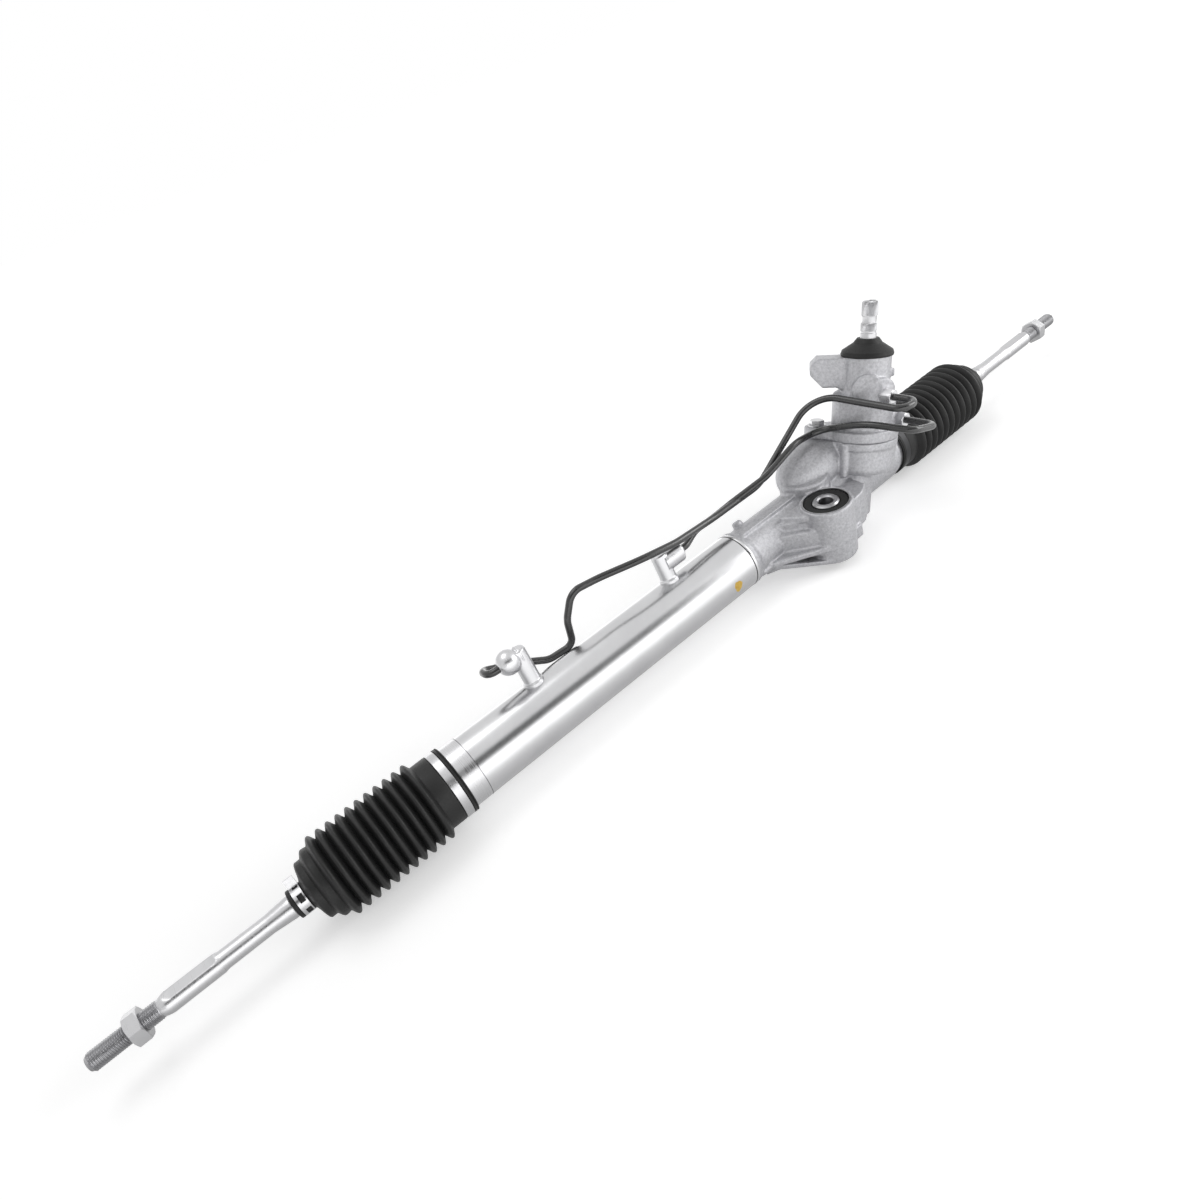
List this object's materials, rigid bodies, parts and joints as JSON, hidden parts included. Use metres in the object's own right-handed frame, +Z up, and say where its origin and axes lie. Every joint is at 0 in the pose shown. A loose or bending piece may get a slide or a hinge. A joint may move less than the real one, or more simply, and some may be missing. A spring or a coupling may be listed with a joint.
{
  "type": "hydraulic steering rack",
  "caption": "Hydraulic rack-and-pinion steering gear with a power cylinder, pinion valve housing, steel pipes, bellows boots and swinging inner tie rods.",
  "frame": {"origin": "centre of the mount bush's bore", "axes": "+X along the rack from the power cylinder to the pinion end, +Y from the mount bush to the rack, +Z up along the mount bush's bore"},
  "size_m": [1.14, 0.1482, 0.1979],
  "materials": {
    "cast_aluminium": "cast",
    "polished_steel": "polished",
    "machined_steel": "machined",
    "plated_steel": "bright plated",
    "gear_steel": "ground",
    "boot_rubber": "matt",
    "seal_rubber": "matt",
    "pipe_black": "semi-gloss",
    "bronze": "plain",
    "plastic": "plain"
  },
  "bodies": {
    "housing": {"rack_housing": "cast_aluminium", "cylinder_tube": "polished_steel", "end_stopper": "polished_steel", "stopper_bush": "bronze", "stopper_rod_seal": "seal_rubber", "inner_rod_seal": "seal_rubber", "rack_end_bush": "bronze", "port_boss_near": "machined_steel", "port_boss_far": "machined_steel", "turn_pipe_left": "pipe_black", "turn_pipe_right": "pipe_black", "pipe_flare_nuts": "plated_steel", "mount_bush_shell": "machined_steel", "mount_bush_rubber": "seal_rubber", "mount_bush_sleeve": "machined_steel", "valve_housing": "cast_aluminium", "housing_bolts": "plated_steel", "housing_o_ring": "seal_rubber", "dust_cover": "seal_rubber", "input_shaft_seal": "seal_rubber", "input_needle_bearing": "gear_steel", "pinion_bearing_outer_ring": "gear_steel", "pinion_bearing_balls": "gear_steel", "pinion_bearing_retainer": "gear_steel", "pinion_seal": "seal_rubber", "lower_needle_bearing": "gear_steel", "rack_guide": "cast_aluminium", "rack_guide_pad": "plastic", "rack_guide_springs": "gear_steel", "adjusting_plug": "machined_steel", "plug_lock_nut": "plated_steel", "boot_left": "boot_rubber", "boot_right": "boot_rubber", "boot_clamp_left": "plated_steel", "boot_clamp_right": "plated_steel"},
    "pinion": {"pinion": "gear_steel", "valve_sleeve": "gear_steel", "sleeve_seal_rings": "plastic", "sleeve_pin": "gear_steel", "pinion_bearing_inner_ring": "gear_steel"},
    "input_shaft": {"input_shaft": "machined_steel", "torsion_bar": "gear_steel", "torsion_bar_pin": "gear_steel"},
    "rack": {"rack_bar": "gear_steel", "piston": "gear_steel", "piston_ring": "plastic", "ball_socket_left": "gear_steel", "ball_socket_right": "gear_steel", "ball_liner_left": "plastic", "ball_liner_right": "plastic", "tab_washer_left": "plated_steel", "tab_washer_right": "plated_steel"},
    "left_tie_rod": {"tie_rod_left": "machined_steel", "jam_nut_left": "plated_steel", "small_clamp_left": "plated_steel"},
    "right_tie_rod": {"tie_rod_right": "machined_steel", "jam_nut_right": "plated_steel", "small_clamp_right": "plated_steel"}
  },
  "joints": [
    {"name": "rack_slide", "type": "slide", "parent": "housing", "child": "rack", "axis": [1, 0, 0], "range_m": [-0.075, 0.049], "deforming": ["boot_left", "boot_right"]},
    {"name": "pinion_turn", "type": "hinge", "parent": "housing", "child": "pinion", "pos_m": [0.075, 0.025, 0], "axis": [0.2756, 0, 0.9613], "range_deg": [-370, 563]},
    {"name": "input_twist", "type": "hinge", "parent": "pinion", "child": "input_shaft", "pos_m": [0.075, 0.025, 0], "axis": [0.2756, 0, 0.9613], "range_deg": [-4.5, 4.5], "stiffness_Nm_per_rad": 60},
    {"name": "left_tie_rod_swing", "type": "hinge", "parent": "rack", "child": "left_tie_rod", "pos_m": [-0.505, 0.041, 0], "axis": [0, 1, 0], "range_deg": [-22, 22]},
    {"name": "right_tie_rod_swing", "type": "hinge", "parent": "rack", "child": "right_tie_rod", "pos_m": [0.261, 0.041, 0], "axis": [0, 1, 0], "range_deg": [-22, 22]}
  ],
  "couplings": [
    {"joint": "pinion_turn", "follows": "rack_slide", "rad_per_m": -129.9}
  ]
}
